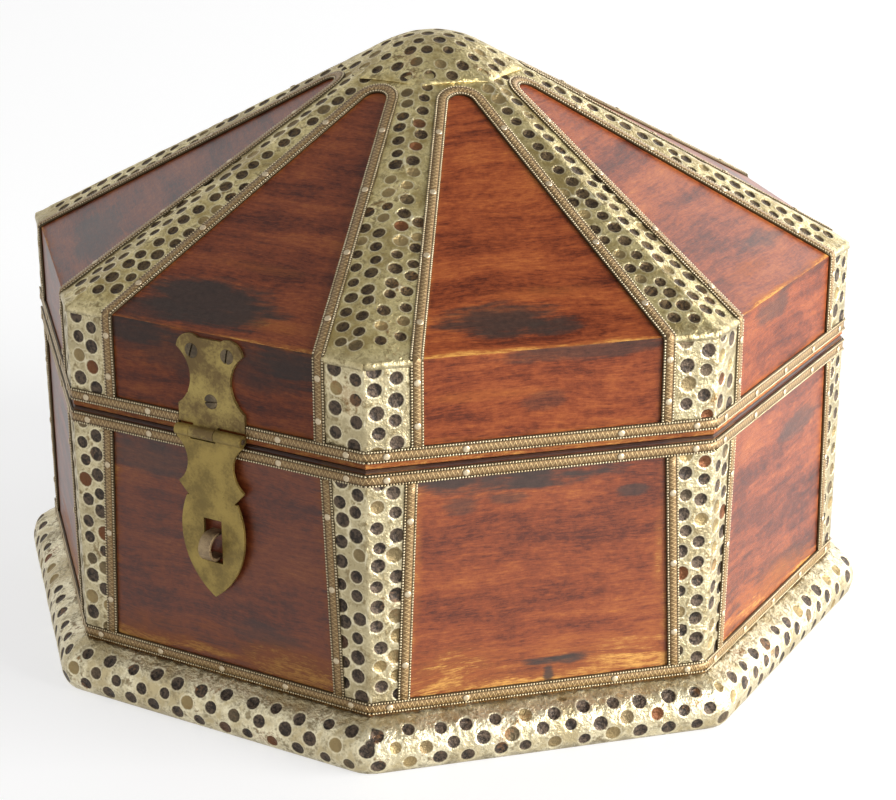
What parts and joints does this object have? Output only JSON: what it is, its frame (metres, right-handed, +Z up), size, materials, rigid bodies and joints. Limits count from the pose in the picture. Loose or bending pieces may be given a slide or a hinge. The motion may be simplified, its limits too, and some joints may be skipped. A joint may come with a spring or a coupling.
{
  "type": "hinged wooden box",
  "caption": "Eight-sided wooden box with a hinged pyramid lid, hammered metal corner straps, beaded pinned bands, a rounded plinth and a hasp that drops over a staple.",
  "frame": {"origin": "centre of the underside, on the surface the box stands on", "axes": "+Z up; -Y out of the front, where the hasp is; +X to the right seen from the front; the lid's hinges are at +Y"},
  "size_m": [0.327, 0.327, 0.2309],
  "materials": {
    "stained_wood": "red-brown stained hardwood, worn satin varnish",
    "plain_wood": "plain softwood, dull",
    "hammered_metal": "thin white-metal sheet, punched with round dimples and tarnished yellow-grey",
    "beaded_band": "stamped strip with beaded edges, tarnished",
    "pin_metal": "worn bright round heads",
    "aged_brass": "aged olive brass with dark stains",
    "dark_steel": "dull slotted steel"
  },
  "bodies": {
    "base": {"floor_board": "plain_wood", "wall_front": "stained_wood", "wall_front_right": "stained_wood", "wall_right": "stained_wood", "wall_rear_right": "stained_wood", "wall_rear": "stained_wood", "wall_rear_left": "stained_wood", "wall_left": "stained_wood", "wall_front_left": "stained_wood", "plinth_moulding": "plain_wood", "plinth_sheet": "hammered_metal", "base_strap_1": "hammered_metal", "base_strap_2": "hammered_metal", "base_strap_3": "hammered_metal", "base_strap_4": "hammered_metal", "base_strap_5": "hammered_metal", "base_strap_6": "hammered_metal", "base_strap_7": "hammered_metal", "base_strap_8": "hammered_metal", "base_hoop_bands": "beaded_band", "base_upright_bands": "beaded_band", "base_pins": "pin_metal", "staple": "aged_brass", "rear_hinge_base_leaves": "aged_brass", "rear_hinge_pins": "dark_steel", "rear_hinge_base_screws": "dark_steel"},
    "lid": {"lid_side_front": "stained_wood", "lid_side_front_right": "stained_wood", "lid_side_right": "stained_wood", "lid_side_rear_right": "stained_wood", "lid_side_rear": "stained_wood", "lid_side_rear_left": "stained_wood", "lid_side_left": "stained_wood", "lid_side_front_left": "stained_wood", "roof_board_front": "stained_wood", "roof_board_front_right": "stained_wood", "roof_board_right": "stained_wood", "roof_board_rear_right": "stained_wood", "roof_board_rear": "stained_wood", "roof_board_rear_left": "stained_wood", "roof_board_left": "stained_wood", "roof_board_front_left": "stained_wood", "lid_strap_1": "hammered_metal", "lid_strap_2": "hammered_metal", "lid_strap_3": "hammered_metal", "lid_strap_4": "hammered_metal", "lid_strap_5": "hammered_metal", "lid_strap_6": "hammered_metal", "lid_strap_7": "hammered_metal", "lid_strap_8": "hammered_metal", "lid_cap": "hammered_metal", "lid_rim_band": "beaded_band", "lid_panel_bands": "beaded_band", "lid_pins": "pin_metal", "rear_hinge_lid_leaves": "aged_brass", "rear_hinge_lid_screws": "dark_steel", "hasp_plate": "aged_brass", "hasp_pin": "dark_steel", "hasp_screws": "dark_steel"},
    "hasp": {"hasp_flap": "aged_brass"}
  },
  "joints": [
    {"name": "lid_hinge", "type": "hinge", "parent": "base", "child": "lid", "pos_m": [0, 0.1551, 0.1126], "axis": [-1, 0, 0], "range_deg": [0, 105]},
    {"name": "hasp_hinge", "type": "hinge", "parent": "lid", "child": "hasp", "pos_m": [0, -0.1551, 0.1143], "axis": [-1, 0, 0], "range_deg": [0, 175]}
  ]
}
